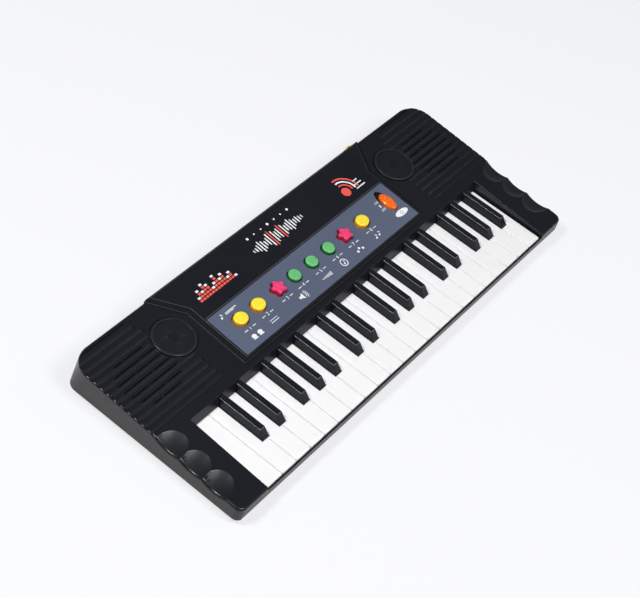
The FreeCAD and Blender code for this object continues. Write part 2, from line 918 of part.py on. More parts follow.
def oval_face(half_x, half_y, x, y):
    """Ellipse with its axes along X and Y."""
    ends = [V(x + half_x, y, 0), V(x, y + half_y, 0)]
    if half_y > half_x:
        ends.reverse()
    return Part.Face(Part.Wire(Part.Ellipse(*ends, V(x, y, 0)).toShape()))


def slot_middle():
    return slider_back + slider_travel / 2


def star_face(x):
    corners = []
    for i in range(2 * star_points):
        reach = star_waist if i % 2 else star_radius
        angle = math.pi / 2 + i * math.pi / star_points
        corners.append((x + reach * math.cos(angle), button_back + reach * math.sin(angle),
                        star_waist_round if i % 2 else star_round))
    return rounded_face(corners)


def button_face(name, x, grow=0):
    """A button's outline, or its hole's when grown."""
    if "star" in name:
        return star_face(x).makeOffset2D(grow) if grow else star_face(x)
    if "yellow" in name:
        return oval_face(yellow_half_width + grow, yellow_half_depth + grow, x, button_back)
    return Part.Face(Part.Wire(Part.makeCircle(green_radius + grow, V(x, button_back, 0))))


def button(name, x):
    rise, edge = {"yellow": (yellow_rise, yellow_round), "green": (green_rise, green_round),
                  "star": (star_rise, star_chamfer)}[name.split("_")[1]]
    foot = -deck - flange_gap
    face = button_face(name, x)
    reach = face.BoundBox.XLength / 2 + flange_margin
    face.translate(V(0, 0, foot))
    cap = face.extrude(V(0, 0, rise - foot))
    crown = [e for e in cap.Edges if all(abs(v.Z - rise) < tiny for v in e.Vertexes)]
    cap = cap.makeChamfer(edge, crown) if "star" in name else cap.makeFillet(edge, crown)
    flange = upright(reach, flange_thick, x, button_back, foot - flange_thick)
    return on_deck(cap.fuse(flange).removeSplitter(), console_rise)


def power_slider():
    foot = -deck - flange_gap
    face = oval_face(knob_half_width, knob_half_length, slider_x, slider_back)
    face.translate(V(0, 0, foot))
    knob = face.extrude(V(0, 0, knob_rise - foot))
    crown = [e for e in knob.Edges if all(abs(v.Z - knob_rise) < tiny for v in e.Vertexes)]
    knob = knob.makeFillet(knob_round, crown)
    half = slider_plate_width / 2
    run = slider_plate_length / 2
    sheet = box(slider_x - half, slider_x + half, slider_back - run, slider_back + run,
                foot - flange_thick, foot)
    stem = box(slider_x - slider_stem / 2, slider_x + slider_stem / 2,
               slider_back - slider_stem / 2, slider_back + slider_stem / 2,
               foot - flange_thick - slider_stem_drop, foot)
    return on_deck(knob.fuse([sheet, stem]).removeSplitter(), console_rise)


def control_overlay():
    sheet = plate([(-overlay_half, overlay_front, overlay_corner),
                   (overlay_half, overlay_front, overlay_corner),
                   (overlay_half, overlay_rear, overlay_corner),
                   (-overlay_half, overlay_rear, overlay_corner)], -overlay_thick, 0)
    return on_deck(sheet.cut(control_holes()), console_rise)


def button_membrane():
    x0 = min(button_places.values()) - sheet_margin
    x1 = max(button_places.values()) + sheet_margin
    sheet = box(x0, x1, button_back - sheet_half_width, button_back + sheet_half_width,
                board_top(), board_top() + sheet_thick)
    domes = [square_dome(x, button_back, board_top() + sheet_thick, dome_foot, dome_head,
                         dome_height) for x in button_places.values()]
    return on_deck(sheet.fuse(domes).removeSplitter(), console_rise)


def control_board():
    x0, x1 = board_ends()
    board = box(x0, x1, button_back - board_half_width, button_back + board_half_width,
                board_top() - board_thick, board_top())
    return on_deck(board, console_rise)


# Sound


def speaker(side):
    """Flange, tapering basket and magnet, with the cone's dish open to the grille."""
    x = side * (case_half - speaker_inset)
    top = -deck
    basket = top - speaker_flange - speaker_basket
    profile = [(0, top - speaker_dish), (speaker_neck, top - speaker_dish),
               (speaker_radius - 2 * speaker_flange, top), (speaker_radius, top),
               (speaker_radius, top - speaker_flange), (speaker_neck, basket),
               (speaker_magnet_radius, basket), (speaker_magnet_radius, basket - speaker_magnet),
               (0, basket - speaker_magnet)]
    outline = [V(x + r, slot_middle_y(), z) for r, z in profile]
    face = Part.Face(Part.makePolygon(outline + outline[:1]))
    return on_deck(face.revolve(V(x, slot_middle_y(), 0), V(0, 0, 1), 360))


def loudspeakers():
    return Part.makeCompound([speaker(-1), speaker(1)])


def jack_body(grow, length, proud):
    """The socket's square body, or its opening in the rear wall."""
    half = jack_body_half + grow
    return box(jack_x - half, jack_x + half, rear_y + proud - length, rear_y + proud,
               jack_height - half, jack_height + half)


def rear_jack():
    back = V(0, -1, 0)
    collar = Part.makeCylinder(jack_collar_radius, jack_proud,
                               V(jack_x, rear_y + jack_proud, jack_height), back)
    mouth = [e for e in collar.Edges
             if len(e.Vertexes) == 1 and e.Vertexes[0].Y > rear_y + jack_proud / 2]
    collar = collar.makeFillet(jack_round, mouth)
    half = jack_plate_half
    stay = box(jack_x - half, jack_x + half, rear_y - wall - jack_plate, rear_y - wall,
               jack_height - half, jack_height + half)
    bore = Part.makeCylinder(jack_bore_radius, jack_bore_depth,
                             V(jack_x, rear_y + jack_proud, jack_height), back)
    body = jack_body(0, jack_body_length, 0)
    return collar.fuse([body, stay]).cut(bore).removeSplitter()


def all_parts():
    parts = {
        "top_case": top_case(),
        "bottom_case": bottom_case(),
        "control_overlay": control_overlay(),
        "power_slider": power_slider(),
        "button_membrane": button_membrane(),
        "control_board": control_board(),
        "key_contact_strip": key_contact_strip(),
        "key_board": key_board(),
        "key_pivot_rod": key_pivot_rod(),
        "loudspeakers": loudspeakers(),
        "battery_box": battery_box(),
        "battery_door": battery_door(),
        "case_screws": case_screws(),
        "rubber_feet": rubber_feet(),
        "rear_jack": rear_jack(),
    }
    for i in range(1, white_count + 1):
        parts["white_key_%02d" % i] = white_key(i)
    with_black = [i for i in range(1, white_count) if black_after(i) is not None]
    for number, i in enumerate(with_black, 1):
        parts["black_key_%02d" % number] = black_key(i)
    for name, x in button_places.items():
        parts[name] = button(name, x)
    return parts


os.makedirs("parts", exist_ok=True)
for name, shape in all_parts().items():
    shape.exportStep("parts/%s.step" % name)
    print("%s: solids %d, valid %s, volume %.1f"
          % (name, len(shape.Solids), shape.isValid(), shape.Volume))
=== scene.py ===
import json
import math

import bmesh
import bpy
from mathutils import Matrix, Vector


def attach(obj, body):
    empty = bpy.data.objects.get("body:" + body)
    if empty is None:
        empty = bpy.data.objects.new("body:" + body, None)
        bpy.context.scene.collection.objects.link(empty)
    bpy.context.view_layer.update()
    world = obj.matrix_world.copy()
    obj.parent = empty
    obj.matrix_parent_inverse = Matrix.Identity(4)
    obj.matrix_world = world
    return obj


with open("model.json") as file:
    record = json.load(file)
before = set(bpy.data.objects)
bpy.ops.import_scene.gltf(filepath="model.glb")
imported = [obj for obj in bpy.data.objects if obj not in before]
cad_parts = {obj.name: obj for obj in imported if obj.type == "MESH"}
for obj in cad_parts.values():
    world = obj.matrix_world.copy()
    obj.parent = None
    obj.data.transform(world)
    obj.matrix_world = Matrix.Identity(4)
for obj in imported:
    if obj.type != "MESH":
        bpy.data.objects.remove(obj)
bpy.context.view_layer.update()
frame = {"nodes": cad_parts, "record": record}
nodes = frame["nodes"]
scene = bpy.context.scene
scene.view_settings.view_transform = "Standard"
print("frame loaded:", len(nodes), "nodes")

# the deck's own frame: y runs up the slope from the key fronts, z stands off it
deckSet = {"keyFront": -0.0802, "whiteTop": 0.015, "rise": 0.003, "slope": 4.46, "console": 0.0028,
           "pitch": 0.0158, "whiteKeys": 22}
deckFrame = (Matrix.Translation((0, deckSet["keyFront"], deckSet["whiteTop"] + deckSet["rise"]))
             @ Matrix.Rotation(math.radians(deckSet["slope"]), 4, "X"))
deckAlong = deckFrame.col[1].to_3d()
deckNormal = deckFrame.col[2].to_3d()


# places on the deck are counted in white-key widths
def keyX(place):
    return (place - deckSet["whiteKeys"] / 2) * deckSet["pitch"]


def keyY(place):
    return place * deckSet["pitch"]


# shader helpers
noiseSpan = (0.3, 0.7)                        # where most of a noise's values lie


def startMaterial(name):
    mat = bpy.data.materials.new(name)
    mat.use_nodes = True
    tree = mat.node_tree
    shader = tree.nodes["Principled BSDF"]
    coords = tree.nodes.new("ShaderNodeTexCoord")
    return mat, tree, shader, coords.outputs["Object"]


def noiseNode(tree, vector, scale, detail=3.0, rough=0.5):
    node = tree.nodes.new("ShaderNodeTexNoise")
    node.inputs["Scale"].default_value = scale
    node.inputs["Detail"].default_value = detail
    node.inputs["Roughness"].default_value = rough
    tree.links.new(vector, node.inputs["Vector"])
    return node.outputs["Fac"]


def rampNode(tree, value, low, high, span=noiseSpan):
    node = tree.nodes.new("ShaderNodeValToRGB")
    for element, place, colour in zip(node.color_ramp.elements, span, (low, high)):
        element.position = place
        element.color = (*colour, 1)
    tree.links.new(value, node.inputs["Fac"])
    return node.outputs["Color"]


def rangeNode(tree, value, low, high, span=(0.0, 1.0)):
    node = tree.nodes.new("ShaderNodeMapRange")
    node.inputs["From Min"].default_value, node.inputs["From Max"].default_value = span
    node.inputs["To Min"].default_value = low
    node.inputs["To Max"].default_value = high
    tree.links.new(value, node.inputs["Value"])
    return node.outputs["Result"]


def mathNode(tree, kind, first, second=None):
    node = tree.nodes.new("ShaderNodeMath")
    node.operation = kind
    for slot, value in ((0, first), (1, second)):
        if value is None:
            continue
        if isinstance(value, (int, float)):
            node.inputs[slot].default_value = value
        else:
            tree.links.new(value, node.inputs[slot])
    return node.outputs[0]


# product of values and masks
def bothNode(tree, first, *others):
    for other in others:
        first = mathNode(tree, "MULTIPLY", first, other)
    return first


def notNode(tree, mask):
    return mathNode(tree, "SUBTRACT", 1.0, mask)


# 1 between the two limits, 0 outside them
def bandNode(tree, value, limits):
    return bothNode(tree, mathNode(tree, "GREATER_THAN", value, limits[0]),
                    mathNode(tree, "LESS_THAN", value, limits[1]))


def dotNode(tree, vector, direction):
    node = tree.nodes.new("ShaderNodeVectorMath")
    node.operation = "DOT_PRODUCT"
    node.inputs[1].default_value = direction
    tree.links.new(vector, node.inputs[0])
    return node.outputs["Value"]


# distance along one of the deck frame's axes, from a piece's own coordinates
def deckNode(tree, coords, axis):
    return mathNode(tree, "SUBTRACT", dotNode(tree, coords, axis), axis.dot(deckFrame.translation))


def bumpNode(tree, height, strength, distance, normal=None):
    node = tree.nodes.new("ShaderNodeBump")
    node.inputs["Strength"].default_value = strength
    node.inputs["Distance"].default_value = distance
    tree.links.new(height, node.inputs["Height"])
    if normal is not None:
        tree.links.new(normal, node.inputs["Normal"])
    return node.outputs["Normal"]


def mixNode(tree, factor, first, second):
    node = tree.nodes.new("ShaderNodeMix")
    node.data_type = "RGBA"
    for socket, value in ((node.inputs[6], first), (node.inputs[7], second)):   # its colour sockets
        if isinstance(value, tuple):
            socket.default_value = (*value, 1)
        else:
            tree.links.new(value, socket)
    tree.links.new(factor, node.inputs[0])
    return node.outputs[2]


def shade(colour, factor):
    return tuple(min(1.0, c * factor) for c in colour)


def cloudyColour(tree, coords, look):
    cloud = noiseNode(tree, coords, look["cloudScale"])
    return rampNode(tree, cloud, shade(look["colour"], 1 - look["vary"]),
                    shade(look["colour"], 1 + look["vary"]))


def smearedRough(tree, coords, look):
    smear = noiseNode(tree, coords, look["smearScale"], detail=4, rough=0.6)
    return rangeNode(tree, smear, *look["rough"], noiseSpan)


def grainNormal(tree, coords, look, under=None):
    grain = noiseNode(tree, coords, look["grainScale"], detail=2)
    return bumpNode(tree, grain, look["grain"], look["grainDepth"], under)


# moulded plastics, rubbers and plain metals
plasticBase = {"cloudScale": 18, "smearScale": 60, "grainDepth": 0.00004, "specular": 0.5,
               "metal": 0.0, "milkyReach": 0.004}
plasticLooks = {
    "base_black": {"colour": (0.0205, 0.0195, 0.0212), "vary": 0.1, "rough": (0.36, 0.46),
                   "grainScale": 1600, "grain": 0.3, "specular": 0.36},
    "panel_grey": {"colour": (0.093, 0.112, 0.17), "vary": 0.05, "rough": (0.34, 0.42),
                   "grainScale": 2400, "grain": 0.08},
    "key_white": {"colour": (0.89, 0.893, 0.908), "vary": 0.012, "rough": (0.2, 0.26),
                  "grainScale": 900, "grain": 0.02, "milky": 0.6, "specular": 0.25},
    # key_black's edge colour is a painted highlight along its rounded top edges
    "key_black": {"colour": (0.0094, 0.0114, 0.0156), "vary": 0.1, "rough": (0.17, 0.2),
                  "grainScale": 900, "grain": 0.02, "specular": 0.22,
                  "edge": (0.17, 0.172, 0.185), "edgeTilt": (0.68, 0.95)},
    # the colours below a height on the buttons and slider are painted shade on their sides and inside
    # the slot
    "button_yellow": {"colour": (0.9, 0.74, 0.055), "vary": 0.03, "rough": (0.24, 0.32),
                      "grainScale": 700, "grain": 0.02, "paintedShadeColour": (1.0, 0.4, 0.006),
                      "paintedShadeLift": (0.0049, 0.0053), "milky": 0.8},
    "button_green": {"colour": (0.15, 0.5, 0.19), "vary": 0.04, "rough": (0.22, 0.3),
                     "grainScale": 700, "grain": 0.02, "paintedShadeColour": (0.02, 0.2, 0.045),
                     "paintedShadeLift": (0.0042, 0.0054), "milky": 0.5},
    "button_pink": {"colour": (0.82, 0.06, 0.2), "vary": 0.04, "rough": (0.24, 0.32),
                    "grainScale": 700, "grain": 0.02, "paintedShadeColour": (0.62, 0.012, 0.05),
                    "paintedShadeLift": (0.0056, 0.0065), "milky": 0.5},
    "slider_orange": {"colour": (0.84, 0.145, 0.01), "vary": 0.05, "rough": (0.1, 0.14),
                      "grainScale": 700, "grain": 0.02, "paintedShadeColour": (0.012, 0.012, 0.013),
                      "paintedShadeLift": (0.0022, 0.0026)},
    "contact_rubber": {"colour": (0.3, 0.31, 0.33), "vary": 0.06, "rough": (0.6, 0.7),
                       "grainScale": 800, "grain": 0.2},
    "rod_steel": {"colour": (0.56, 0.57, 0.59), "vary": 0.06, "rough": (0.2, 0.32),
                  "grainScale": 1200, "grain": 0.1, "metal": 1.0},
    "speaker_dark": {"colour": (0.02, 0.02, 0.022), "vary": 0.15, "rough": (0.55, 0.7),
                     "grainScale": 900, "grain": 0.4},
    "screw_steel": {"colour": (0.5, 0.5, 0.52), "vary": 0.08, "rough": (0.25, 0.4),
                    "grainScale": 1500, "grain": 0.1, "metal": 1.0},
    "foot_rubber": {"colour": (0.022, 0.022, 0.023), "vary": 0.15, "rough": (0.7, 0.82),
                    "grainScale": 1300, "grain": 0.5},
    "jack_yellow": {"colour": (0.84, 0.5, 0.02), "vary": 0.05, "rough": (0.24, 0.32),
                    "grainScale": 700, "grain": 0.02},
}


def plasticMaterial(name, ownLook):
    look = {**plasticBase, **ownLook}
    mat, tree, shader, coords = startMaterial(name)
    colour = cloudyColour(tree, coords, look)
    if "paintedShadeColour" in look:                       # painted shade: a deeper colour below this height for the shaded sides and the part down in the slot
        rise = rangeNode(tree, deckNode(tree, coords, deckNormal), 0, 1, look["paintedShadeLift"])
        colour = mixNode(tree, rise, look["paintedShadeColour"], colour)
    if "edge" in look:                        # painted highlight: the rounded top edges are painted paler where they would catch the lamp
        facing = tree.nodes.new("ShaderNodeSeparateXYZ")
        tree.links.new(coords.node.outputs["Normal"], facing.inputs[0])
        paintedHighlight = bandNode(tree, facing.outputs[2], look["edgeTilt"])
        colour = mixNode(tree, paintedHighlight, colour, look["edge"])
    tree.links.new(colour, shader.inputs["Base Color"])
    tree.links.new(smearedRough(tree, coords, look), shader.inputs["Roughness"])
    tree.links.new(grainNormal(tree, coords, look), shader.inputs["Normal"])
    shader.inputs["Specular IOR Level"].default_value = look["specular"]
    shader.inputs["Metallic"].default_value = look["metal"]
    if "milky" in look:                       # light wanders a little way inside the plastic
        shader.inputs["Subsurface Weight"].default_value = look["milky"]
        shader.inputs["Subsurface Radius"].default_value = (1, 1, 1)
        shader.inputs["Subsurface Scale"].default_value = look["milkyReach"]
    return mat


# the upper case: fine satin grain, key window's rear wall, matt slopes and dents, dotted plates;
# names in Y and X are the part's own axes, Run and Lift are along the deck and off it
caseLook = {"colour": (0.0098, 0.0111, 0.0151), "vary": 0.08, "cloudScale": 14,
            "rough": (0.245, 0.27), "smearScale": 55, "specular": 0.33,
            "grainScale": 2200, "grain": 0.06, "grainDepth": 0.00004,
            "windowY": (-0.0136, -0.0104), "windowHalf": 0.1778, "windowRough": 0.3,
            "emblemX": 0.1335, "emblemY": 0.0435, "plateRadii": (0.00447, 0.013857),
            "dotRings": 0.0023, "dotTurns": 26, "dotDepth": 0.00025, "dotStrength": 0.6,
            "dotColour": (0.017, 0.018, 0.022),
            "ringEdges": ((0.0149, 0.0155), (0.0162, 0.0171)), "ringLift": 0.0001,
            "ringHighlightColour": (0.03, 0.031, 0.036),
            "sideLift": (0.0003, 0.00279), "sideRough": 0.7, "bevelShadeColour": (0.003, 0.0033, 0.0045),
            "dentX": (0.1778, 0.2032), "dentY": (-0.076, -0.006), "dentLift": (-0.0036, -0.0001),
            "dentRough": 0.15,
            "footLift": (-0.0013, -0.00092), "footRun": (0.0796, 0.156), "footHalf": 0.2012,
            "footHighlightColour": (0.021, 0.021, 0.024),
            "brimLift": (0.00005, 0.0006), "crestLift": (0.00255, 0.00279),
            "lipRun": (0.1186, 0.1196), "lipHalf": 0.106, "edgeHighlightColour": (0.045, 0.048, 0.058),
            "holeY": (-0.0808, -0.008), "wallLift": (-0.0042, -0.0024),
            "wallLightColour": (0.0125, 0.0118, 0.0135)}


def caseMaterial(look):
    mat, tree, shader, coords = startMaterial("caseShell")
    split = tree.nodes.new("ShaderNodeSeparateXYZ")
    tree.links.new(coords, split.inputs[0])
    x, y = split.outputs[0], split.outputs[1]
    farX = mathNode(tree, "ABSOLUTE", x)
    lift = deckNode(tree, coords, deckNormal)
    run = deckNode(tree, coords, deckAlong)
    inWindow = mathNode(tree, "LESS_THAN", farX, look["windowHalf"])
    # dots in rings on the two round plates, painted highlight lines on their rims
    dx = mathNode(tree, "SUBTRACT", farX, look["emblemX"])
    dy = mathNode(tree, "SUBTRACT", y, look["emblemY"])
    squared = mathNode(tree, "ADD", bothNode(tree, dx, dx), bothNode(tree, dy, dy))
    radius = mathNode(tree, "SQRT", squared)
    angle = mathNode(tree, "ARCTAN2", dy, dx)
    rings = mathNode(tree, "SINE", bothNode(tree, radius, 2 * math.pi / look["dotRings"]))
    turns = mathNode(tree, "SINE", bothNode(tree, angle, look["dotTurns"]))
    dots = mathNode(tree, "MAXIMUM", bothNode(tree, rings, turns), 0.0)
    stipple = bothNode(tree, dots, bandNode(tree, radius, look["plateRadii"]))
    rims = mathNode(tree, "ADD", *[bandNode(tree, radius, edge) for edge in look["ringEdges"]])
    rims = bothNode(tree, rims, mathNode(tree, "GREATER_THAN", lift, look["ringLift"]))
    # roughness: satin, smooth window wall, matt sides of the console, finger dents
    window = bothNode(tree, bandNode(tree, y, look["windowY"]), inWindow)
    satin = bothNode(tree, smearedRough(tree, coords, look), notNode(tree, window))
    satin = mathNode(tree, "ADD", satin, bothNode(tree, window, look["windowRough"]))
    away = mathNode(tree, "GREATER_THAN", radius, look["ringEdges"][1][1])
    sides = bothNode(tree, bandNode(tree, lift, look["sideLift"]), away)
    dents = bothNode(tree, bandNode(tree, farX, look["dentX"]), bandNode(tree, y, look["dentY"]),
                     bandNode(tree, lift, look["dentLift"]))
    matt = mathNode(tree, "ADD", bothNode(tree, sides, look["sideRough"]),
                    bothNode(tree, dents, look["dentRough"]))
    tree.links.new(mathNode(tree, "ADD", satin, matt), shader.inputs["Roughness"])
    # colour, with painted highlight lines: ridge feet, the console's brim and crest, lip behind the grey
    # plate; painted shade on the console's sloped sides
    colour = mixNode(tree, stipple, cloudyColour(tree, coords, look), look["dotColour"])
    colour = mixNode(tree, rims, colour, look["ringHighlightColour"])
    foot = bothNode(tree, bandNode(tree, lift, look["footLift"]), bandNode(tree, run, look["footRun"]),
                    mathNode(tree, "LESS_THAN", farX, look["footHalf"]))
    colour = mixNode(tree, foot, colour, look["footHighlightColour"])
    # painted shade: the console's sloped sides are painted darker
    colour = mixNode(tree, sides, colour, look["bevelShadeColour"])
    brim = mathNode(tree, "MAXIMUM", bandNode(tree, lift, look["brimLift"]),
                    bandNode(tree, lift, look["crestLift"]))
    lip = bothNode(tree, bandNode(tree, run, look["lipRun"]),
                   mathNode(tree, "LESS_THAN", farX, look["lipHalf"]),
                   mathNode(tree, "LESS_THAN", lift, look["sideLift"][1]))
    # painted highlight lines along the console's brim and crest and the lip behind the grey plate
    paintedLines = mathNode(tree, "MAXIMUM", bothNode(tree, brim, away), lip)
    colour = mixNode(tree, paintedLines, colour, look["edgeHighlightColour"])
    # painted light: the outer walls are painted a little paler, as the floor's reflection makes them
    # look
    hole = bothNode(tree, bandNode(tree, y, look["holeY"]), inWindow)
    wall = bothNode(tree, rangeNode(tree, lift, 1, 0, look["wallLift"]), notNode(tree, hole))
    tree.links.new(mixNode(tree, wall, colour, look["wallLightColour"]), shader.inputs["Base Color"])
    raised = bumpNode(tree, stipple, look["dotStrength"], look["dotDepth"])
    tree.links.new(grainNormal(tree, coords, look, raised), shader.inputs["Normal"])
    shader.inputs["Specular IOR Level"].default_value = look["specular"]
    return mat


# circuit boards: green lacquer with lighter copper runs under it
boardLook = {"lacquer": (0.012, 0.075, 0.028), "cellTone": 1.1, "copper": (0.03, 0.14, 0.05),
             "run": 260, "runWidth": 0.06, "smearScale": 90, "rough": (0.28, 0.4),
             "relief": 0.2, "depth": 0.00005}


def boardMaterial(look):
    mat, tree, shader, coords = startMaterial("boardLacquer")
    cells = tree.nodes.new("ShaderNodeTexBrick")
    cells.inputs["Scale"].default_value = look["run"]
    cells.inputs["Mortar Size"].default_value = look["runWidth"]
    cells.inputs["Color1"].default_value = (*look["lacquer"], 1)
    cells.inputs["Color2"].default_value = (*shade(look["lacquer"], look["cellTone"]), 1)
    cells.inputs["Mortar"].default_value = (*look["copper"], 1)
    tree.links.new(coords, cells.inputs["Vector"])
    tree.links.new(cells.outputs["Color"], shader.inputs["Base Color"])
    smear = noiseNode(tree, coords, look["smearScale"])
    tree.links.new(rangeNode(tree, smear, *look["rough"]), shader.inputs["Roughness"])
    tree.links.new(bumpNode(tree, cells.outputs["Fac"], look["relief"], look["depth"]),
                   shader.inputs["Normal"])
    return mat


# printing inks
inkLook = {"vary": 0.03, "rough": (0.45, 0.55), "grainScale": 2600, "grain": 0.1}
inkColours = {"whiteInk": (0.8, 0.81, 0.84), "coralInk": (0.78, 0.1, 0.075),
              "greyInk": (0.2, 0.21, 0.25)}
inks = {name: plasticMaterial(name, {**inkLook, "colour": colour})
        for name, colour in inkColours.items()}

finishes = {slot: plasticMaterial(slot + "Finish", look) for slot, look in plasticLooks.items()}
finishes["case_black"] = caseMaterial(caseLook)
finishes["board_green"] = boardMaterial(boardLook)
for part in frame["record"]["subparts"]:
    node = nodes[part["node"]]
    node.data.materials.clear()
    node.data.materials.append(finishes[part["material_slot"]])


# shape helpers
def newPiece(name, bm, material, body):
    bmesh.ops.recalc_face_normals(bm, faces=bm.faces)
    mesh = bpy.data.meshes.new(name)
    bm.to_mesh(mesh)
    bm.free()
    mesh.materials.append(material)
    piece = bpy.data.objects.new(name, mesh)
    scene.collection.objects.link(piece)
    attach(piece, body)
    return piece


def spot(x, y, turn=0.0):
    return Matrix.Translation((x, y, 0)) @ Matrix.Rotation(math.radians(turn), 4, "Z")


def bar(bm, x, y, width, height, turn=0.0):
    sized = spot(x, y, turn) @ Matrix.Diagonal((width, height, 1, 1))
    bmesh.ops.create_grid(bm, x_segments=1, y_segments=1, size=0.5, matrix=sized)


def disc(bm, x, y, radius, squash=1.0, turn=0.0, sides=28):
    sized = spot(x, y, turn) @ Matrix.Diagonal((1, squash, 1, 1))
    bmesh.ops.create_circle(bm, cap_ends=True, segments=sides, radius=radius, matrix=sized)


def pill(bm, x, y, width, height, turn=0.0):
    placed = spot(x, y, turn)
    run = max(width - height, 0) / 2
    bar(bm, x, y, 2 * run, height, turn)
    for side in (-1, 1):
        end = placed @ Vector((side * run, 0, 0))
        disc(bm, end.x, end.y, height / 2, sides=16)


def arc(bm, x, y, radius, width, start, sweep, steps=20):
    placed = spot(x, y, start)
    ends = [bm.verts.new(placed @ Vector((r, 0, 0))) for r in (radius - width / 2, radius + width / 2)]
    edge = bm.edges.new(ends)
    bmesh.ops.spin(bm, geom=ends + [edge], cent=(x, y, 0), axis=(0, 0, 1), angle=math.radians(sweep),
                   steps=steps, use_merge=sweep >= 360)


def patch(bm, x, y, points, size=1.0):
    placed = spot(x, y)
    bm.faces.new([bm.verts.new(placed @ Vector((px * size, py * size, 0))) for px, py in points])


def words(bm, x, y, text, size):
    curve = bpy.data.curves.new("mark", "FONT")
    curve.body = text
    curve.size = size
    curve.align_x = "CENTER"
    curve.align_y = "CENTER"
    curve.resolution_u = 3
    holder = bpy.data.objects.new("mark", curve)
    scene.collection.objects.link(holder)
    bpy.context.view_layer.update()
    mesh = bpy.data.meshes.new_from_object(holder.evaluated_get(bpy.context.evaluated_depsgraph_get()))
    mesh.transform(spot(x, y))
    bm.from_mesh(mesh)
    bpy.data.objects.remove(holder)
    bpy.data.curves.remove(curve)
    bpy.data.meshes.remove(mesh)


# a quaver, in shares of its size
noteShape = {"head": 0.34, "headSquash": 0.75, "headTurn": 20, "headSides": 18,
             "stemAt": (0.29, 0.55), "stemSize": (0.09, 1.15), "flagAt": (0.25, 1.12),
             "flag": ((0, 0), (0, -0.3), (0.28, -0.45), (0.48, -0.78), (0.5, -0.4), (0.24, -0.14))}


def note(bm, x, y, size, shape=noteShape):
    stemX, stemY = shape["stemAt"]
    stemWidth, stemHeight = shape["stemSize"]
    flagX, flagY = shape["flagAt"]
    disc(bm, x, y, shape["head"] * size, shape["headSquash"], shape["headTurn"], shape["headSides"])
    bar(bm, x + stemX * size, y + stemY * size, stemWidth * size, stemHeight * size)
    patch(bm, x + flagX * size, y + flagY * size, shape["flag"], size)


# flat marks get a hair of thickness and move onto the console
inkLay = {"lift": 0.00002, "thickness": 0.00004}


def layInk(bm, lift=inkLay["lift"], thickness=inkLay["thickness"]):
    flat = list(bm.faces)
    bmesh.ops.recalc_face_normals(bm, faces=flat)
    grown = bmesh.ops.extrude_face_region(bm, geom=flat)
    raised = [v for v in grown["geom"] if isinstance(v, bmesh.types.BMVert)]
    bmesh.ops.translate(bm, vec=(0, 0, thickness), verts=raised)
    bm.transform(deckFrame @ Matrix.Translation((0, 0, deckSet["console"] + lift)))


# number row and signs on the grey plate
panelPrint = {
    "buttons": (5.54, 6.8, 8.26, 9.49, 10.8, 12.11, 13.4, 14.83),
    "numberY": 5.86, "numberSize": 0.0042, "dash": (0.0034, 0.0006), "dashAway": 0.0044, "signY": 5.45,
    "drum": {"away": 0.0033, "radius": 0.0022, "squash": 0.8, "drop": 0.0022, "rim": (0.0044, 0.0009)},
    "rules": {"away": 0.001, "size": (0.0082, 0.0005)},
    "speaker": {"back": 0.002, "box": (0.002, 0.0022), "ahead": 0.001, "waves": (0.0028, 0.0044),
                "waveWidth": 0.0006, "waveTurn": (-50, 100), "waveSteps": 8,
                "horn": ((-0.0012, -0.0011), (0.0014, -0.0027), (0.0014, 0.0027), (-0.0012, 0.0011))},
    "meter": {"bars": 9, "back": 0.0055, "step": 0.0013, "width": 0.0006, "low": 0.0008,
              "grow": 0.00032},
    "ring": {"radius": 0.0031, "width": 0.0007, "steps": 28, "note": (-0.0004, -0.001, 0.0026)},
    "dots": {"places": ((-0.003, -0.0006), (0, 0.0012), (0.003, -0.0006)), "radius": 0.0011},
    "notes": ((-0.0026, -0.0016, 0.003), (0.0018, -0.0008, 0.003)),
    "heading": {"note": (-0.0098, 7.06, 0.003),
                "rules": ((0.001, 7.16, 0.0118, 0.0007), (-0.0006, 7.09, 0.0086, 0.0005))},
    "switch": {"x": 16.42, "words": (("ON", 6.76), ("OFF", 6.24)), "size": 0.0028,
               "markY": 6.5, "mark": (0.0012, 0.0026)},
}


